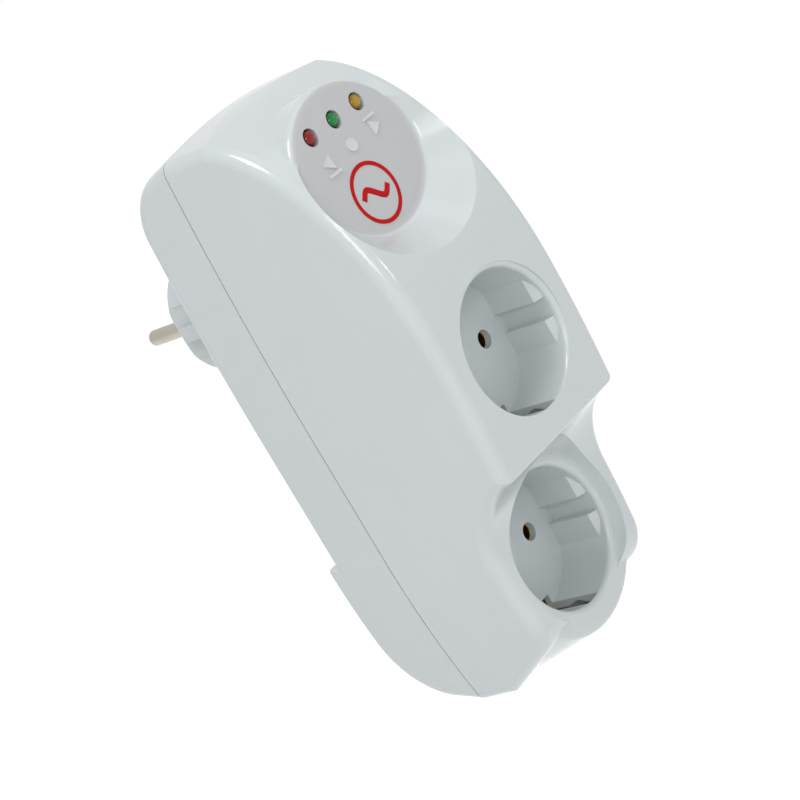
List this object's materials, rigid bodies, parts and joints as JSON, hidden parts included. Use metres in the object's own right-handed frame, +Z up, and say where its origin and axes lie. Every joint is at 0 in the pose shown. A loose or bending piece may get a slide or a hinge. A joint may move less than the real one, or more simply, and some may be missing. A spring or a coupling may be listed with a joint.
{
  "type": "plug-in voltage protector",
  "caption": "Plug-in moulded box with round earthed sockets on a stepped front, an oval lamp panel above them and a round pin plug on the rear.",
  "frame": {"origin": "on the plug's axis, midway between the pins, in the plane of the rear face of the foot", "axes": "+Y out of the rear along the plug pins towards the wall, +Z up, +X to the right seen from the front"},
  "size_m": [0.0664, 0.1155, 0.1849],
  "materials": {
    "case_plastic": "glossy white moulded",
    "pin_metal": "nickel-plated turned",
    "screw_steel": "zinc-plated",
    "phenolic": "moulded",
    "contact_brass": "stamped",
    "board_laminate": "laminate",
    "lamp_red": "tinted epoxy",
    "lamp_green": "tinted epoxy",
    "lamp_amber": "tinted epoxy",
    "tinned_wire": "tinned",
    "relay_blue": "moulded",
    "relay_black": "moulded",
    "coil_copper": "enamelled copper",
    "relay_iron": "zinc-plated iron",
    "fuse_glass": "clear",
    "film_yellow": "moulded",
    "can_sleeve": "shrink sleeve",
    "varistor_blue": "dipped",
    "black_epoxy": "moulded epoxy",
    "resistor_tan": "lacquered",
    "wire_brown": "insulation",
    "wire_blue": "insulation",
    "wire_green": "insulation"
  },
  "bodies": {
    "case": {"board_screws": "screw_steel", "carrier_screws": "screw_steel", "case_screws": "screw_steel", "circuit_board": "board_laminate", "component_leads": "tinned_wire", "controller_chip": "black_epoxy", "earth_clips": "contact_brass", "earth_rail": "contact_brass", "electrolytic_capacitor": "can_sleeve", "film_capacitor": "film_yellow", "front_shell": "case_plastic", "fuse_caps": "tinned_wire", "fuse_clips": "contact_brass", "fuse_tube": "fuse_glass", "lamp_amber": "lamp_amber", "lamp_green": "lamp_green", "lamp_leads": "tinned_wire", "lamp_red": "lamp_red", "live_bus": "contact_brass", "lower_contact_carrier": "phenolic", "lower_contact_left": "contact_brass", "lower_contact_right": "contact_brass", "neutral_bus": "contact_brass", "pin_retainer": "phenolic", "plug_earth_strap": "contact_brass", "plug_pin_left": "pin_metal", "plug_pin_right": "pin_metal", "rear_shell": "case_plastic", "rectifier_diodes": "black_epoxy", "regulator": "black_epoxy", "relay_base": "relay_black", "relay_bobbin": "relay_black", "relay_coil": "coil_copper", "relay_core": "relay_iron", "relay_cover": "relay_blue", "relay_fixed_contact": "contact_brass", "relay_leaf_spring": "contact_brass", "relay_rest_stop": "contact_brass", "relay_terminals": "tinned_wire", "relay_yoke": "relay_iron", "resistors": "resistor_tan", "retainer_screws": "screw_steel", "upper_contact_carrier": "phenolic", "upper_contact_left": "contact_brass", "upper_contact_right": "contact_brass", "varistor": "varistor_blue", "wire_cores": "coil_copper", "wire_earth": "wire_green", "wire_live_in": "wire_brown", "wire_live_out": "wire_brown", "wire_neutral_in": "wire_blue", "wire_neutral_out": "wire_blue"},
    "armature": {"relay_armature": "relay_iron", "relay_blade": "contact_brass"}
  },
  "joints": [
    {"name": "armature_hinge", "type": "hinge", "parent": "case", "child": "armature", "pos_m": [0.008, -0.0234, 0.016], "axis": [0, 0, -1], "range_deg": [0, 4], "stiffness_Nm_per_rad": 0.02, "springref_deg": -2.86}
  ]
}
